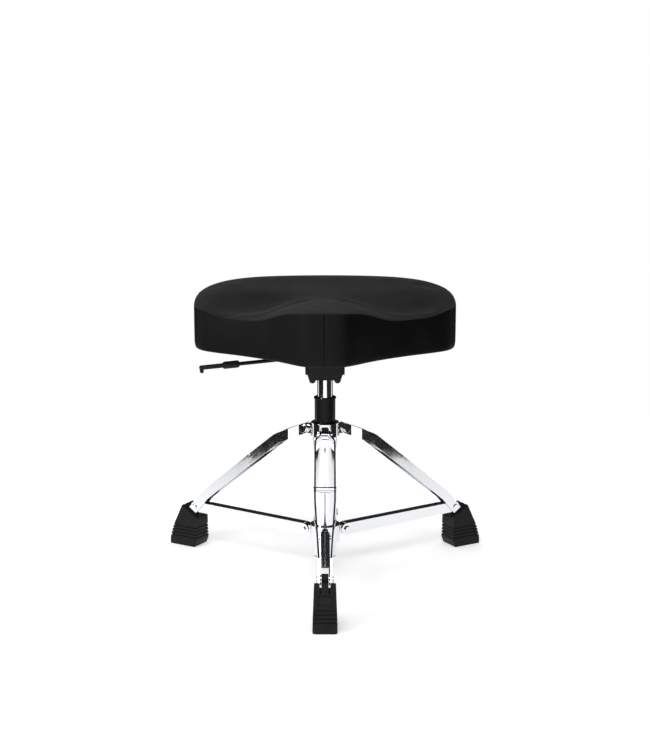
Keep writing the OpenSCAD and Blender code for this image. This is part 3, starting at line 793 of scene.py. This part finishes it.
def build_staples(shell):
    """Staples that hold the wrapped cover to the board."""
    deselect_all()
    bpy.ops.mesh.primitive_cube_add(size=1)
    staple = bpy.context.object
    edit_all(staple)
    bpy.ops.transform.resize(value=STAPLE_SIZE)
    bpy.ops.mesh.bevel(offset=0.2 * MM, segments=2)
    leave_edit()
    plan = [HEART + (spot - HEART) * STAPLE_SHARE for spot in shell.outline]
    ring = [Vector((spot.x, spot.y, SEAT_LOW - STAPLE_DROP)) for spot in plan]
    heart = Vector((HEART.x, HEART.y, SEAT_LOW))
    staples = copies_along(staple, along_loop(ring, STAPLE_PITCH), heart)
    joined(staples, "cover_staples", "zinc", "seat")


def build_seat(settings):
    """Models the cover, fills it, draws in its seams and parts it into its panels."""
    shell = SeatShell(settings)
    shell.draw()
    shell.ease_top()
    shell.swell()
    shell.draw_in_seams()
    side, top = shell.part()
    finish_panel(side, "seat_side_panel", "vinyl", "seat_side_cover")
    finish_panel(top, "seat_top_panel", "velour", "seat_top_cover")
    build_staples(shell)


# ---------------------------------------------------------------- hard parts

# How wide each finish's broken edges are
SOFT_EDGES = {
    "chrome": 0.35 * MM,
    "rubber": 0.9 * MM,
    "black_plastic": 0.5 * MM,
    "black_metal": 0.6 * MM,
}
OTHER_EDGES = 0.3 * MM
COVERS = ("seat_side_cover", "seat_top_cover")
# Hidden and small nodes that keep their own mesh
PLAIN_NODES = ("foam_pad", "seat_board", "bottom_cloth", "tee_nuts", "valve_button", "piston_rod",
               "upper_race", "lower_race", "bearing_balls", "bumper", "retaining_clip", "column_end_plate",
               "lever_pivot_pin", "seat_washers", "base_plug")


def build_hard_parts():
    """Breaks the edges of the visible hard parts and gives every part its finish."""
    for part in frame["record"]["subparts"]:
        name, slot_name = part["node"], part["material_slot"]
        if name in COVERS:
            continue
        finish = FINISHES[slot_name]
        if name in PLAIN_NODES or name.endswith("_foot_pin"):
            paint(node(name), finish)
        else:
            piece = softened(name, SOFT_EDGES.get(slot_name, OTHER_EDGES), finish)


# ---------------------------------------------------------------- studio


def stage_material(name, colour, glow=0.0):
    """A plain matte finish for the studio; a glow makes it shine faintly."""
    finish = Finish(name, colour, metallic=0, roughness=0.9)
    if glow:
        finish.set("Emission Color", (*colour, 1))
        finish.set("Emission Strength", glow)
    return finish.material


def card(name, size, place, turn, material):
    """A flat panel of the studio."""
    deselect_all()
    bpy.ops.mesh.primitive_plane_add(size=1, location=place, rotation=turn)
    panel = bpy.context.object
    panel.scale = (size[0], size[1], 1)
    panel.name = name
    paint(panel, material)
    return panel


def light(name, size, place, aim, power):
    """A soft square light aimed at a point."""
    data = bpy.data.lights.new(name, "AREA")
    data.shape = "RECTANGLE"
    data.size, data.size_y = size
    data.energy = power
    lamp = bpy.data.objects.new(name, data)
    bpy.context.scene.collection.objects.link(lamp)
    lamp.location = place
    lamp.rotation_euler = (Vector(aim) - Vector(place)).to_track_quat("-Z", "Y").to_euler()


def build_sky(scene, reflected):
    """A sky that is white to the camera and to soft light, and dark where polished parts mirror it."""
    world = bpy.data.worlds.new("studio_sky")
    scene.world = world
    world.use_nodes = True
    nodes, links = world.node_tree.nodes, world.node_tree.links
    sky = nodes["Background"]
    sky.inputs["Color"].default_value = (1, 1, 1, 1)
    dim = nodes.new("ShaderNodeBackground")
    dim.inputs["Color"].default_value = (*reflected, 1)
    rays = nodes.new("ShaderNodeLightPath")
    mix = nodes.new("ShaderNodeMixShader")
    links.new(rays.outputs["Is Glossy Ray"], mix.inputs["Fac"])
    links.new(sky.outputs["Background"], mix.inputs[1])
    links.new(dim.outputs["Background"], mix.inputs[2])
    links.new(mix.outputs["Shader"], nodes["World Output"].inputs["Surface"])


def build_cards():
    """The white floor, and two upright dark cards that show only in reflections and shadows."""
    white = stage_material("floor_white", (0.93, 0.93, 0.93), glow=0.25)
    card("studio_floor", (16, 7), (0, -2.6, -0.2 * MM), (0, 0, 0), white)
    black = stage_material("card_black", (0.004, 0.004, 0.004))
    upright = (QUARTER_TURN, 0, QUARTER_TURN)
    right = card("dark_card_right", (1.9, 1.3), (0.77, -0.65, 0.65), upright, black)
    left = card("dark_card_left", (1.9, 0.30), (-0.77, -0.65, 0.15), upright, black)
    for panel in (right, left):
        panel.visible_camera = False


def build_camera(scene, studio):
    """The camera in front of the column, looking slightly down."""
    data = bpy.data.cameras.new("camera")
    data.lens = studio.lens
    data.sensor_width = 36
    camera = bpy.data.objects.new("camera", data)
    scene.collection.objects.link(camera)
    camera.location = (0, AXIS.y - studio.distance, studio.height)
    camera.rotation_euler = (QUARTER_TURN - studio.tilt, 0, 0)
    scene.camera = camera


def build_studio(studio):
    """The sky, the floor and its dark side cards, two soft lights and the camera."""
    scene = bpy.context.scene
    scene.view_settings.view_transform = "Standard"
    build_sky(scene, studio.reflected)
    build_cards()
    light("overhead_soft_light", size=(1.6, 1.1), place=(0, -1.5, 2.1), aim=(0, 0, 0.3), power=20)
    light("left_soft_light", size=(0.5, 0.9), place=(-1.3, -0.9, 0.85), aim=(0, 0, 0.42), power=8)
    build_camera(scene, studio)


# ---------------------------------------------------------------- operators and panel


class THRONE_OT_finishes(bpy.types.Operator):
    """Makes the throne's finishes"""

    bl_idname = "throne.finishes"
    bl_label = "Make Finishes"

    def execute(self, context):
        make_finishes(context.scene.throne_colours)
        return {"FINISHED"}


class THRONE_OT_seat(bpy.types.Operator):
    """Builds the upholstered saddle seat"""

    bl_idname = "throne.seat"
    bl_label = "Build Seat"

    def execute(self, context):
        build_seat(context.scene.throne_seat)
        return {"FINISHED"}


class THRONE_OT_hard_parts(bpy.types.Operator):
    """Finishes the metal, plastic and rubber parts"""

    bl_idname = "throne.hard_parts"
    bl_label = "Finish Hard Parts"

    def execute(self, context):
        build_hard_parts()
        return {"FINISHED"}


class THRONE_OT_studio(bpy.types.Operator):
    """Builds the studio, its lights and its camera"""

    bl_idname = "throne.studio"
    bl_label = "Build Studio"

    def execute(self, context):
        build_studio(context.scene.throne_studio)
        return {"FINISHED"}


OPERATORS = (THRONE_OT_finishes, THRONE_OT_seat, THRONE_OT_hard_parts, THRONE_OT_studio)


class THRONE_PT_panel(bpy.types.Panel):
    """Lists the throne's settings and its building steps"""

    bl_label = "Drum Throne"
    bl_idname = "THRONE_PT_panel"
    bl_space_type = "VIEW_3D"
    bl_region_type = "UI"
    bl_category = "Drum Throne"

    def draw(self, context):
        for name in GROUPS:
            group = getattr(context.scene, name)
            box = self.layout.box()
            for key in group.__annotations__:
                box.prop(group, key)
        for operator in OPERATORS:
            self.layout.operator(operator.bl_idname)


GROUPS = {"throne_seat": ThroneSeat, "throne_colours": ThroneColours, "throne_studio": ThroneStudio}


def register():
    """Registers the settings, the operators and the panel."""
    for name, group in GROUPS.items():
        bpy.utils.register_class(group)
        setattr(bpy.types.Scene, name, PointerProperty(type=group))
    for cls in (*OPERATORS, THRONE_PT_panel):
        bpy.utils.register_class(cls)


def unregister():
    """Undoes register."""
    for cls in (THRONE_PT_panel, *reversed(OPERATORS)):
        bpy.utils.unregister_class(cls)
    for name, group in GROUPS.items():
        delattr(bpy.types.Scene, name)
        bpy.utils.unregister_class(group)


def main():
    """Builds everything in order."""
    register()
    bpy.ops.throne.finishes()
    bpy.ops.throne.studio()
    bpy.ops.throne.seat()
    bpy.ops.throne.hard_parts()


if __name__ == "__main__":
    main()
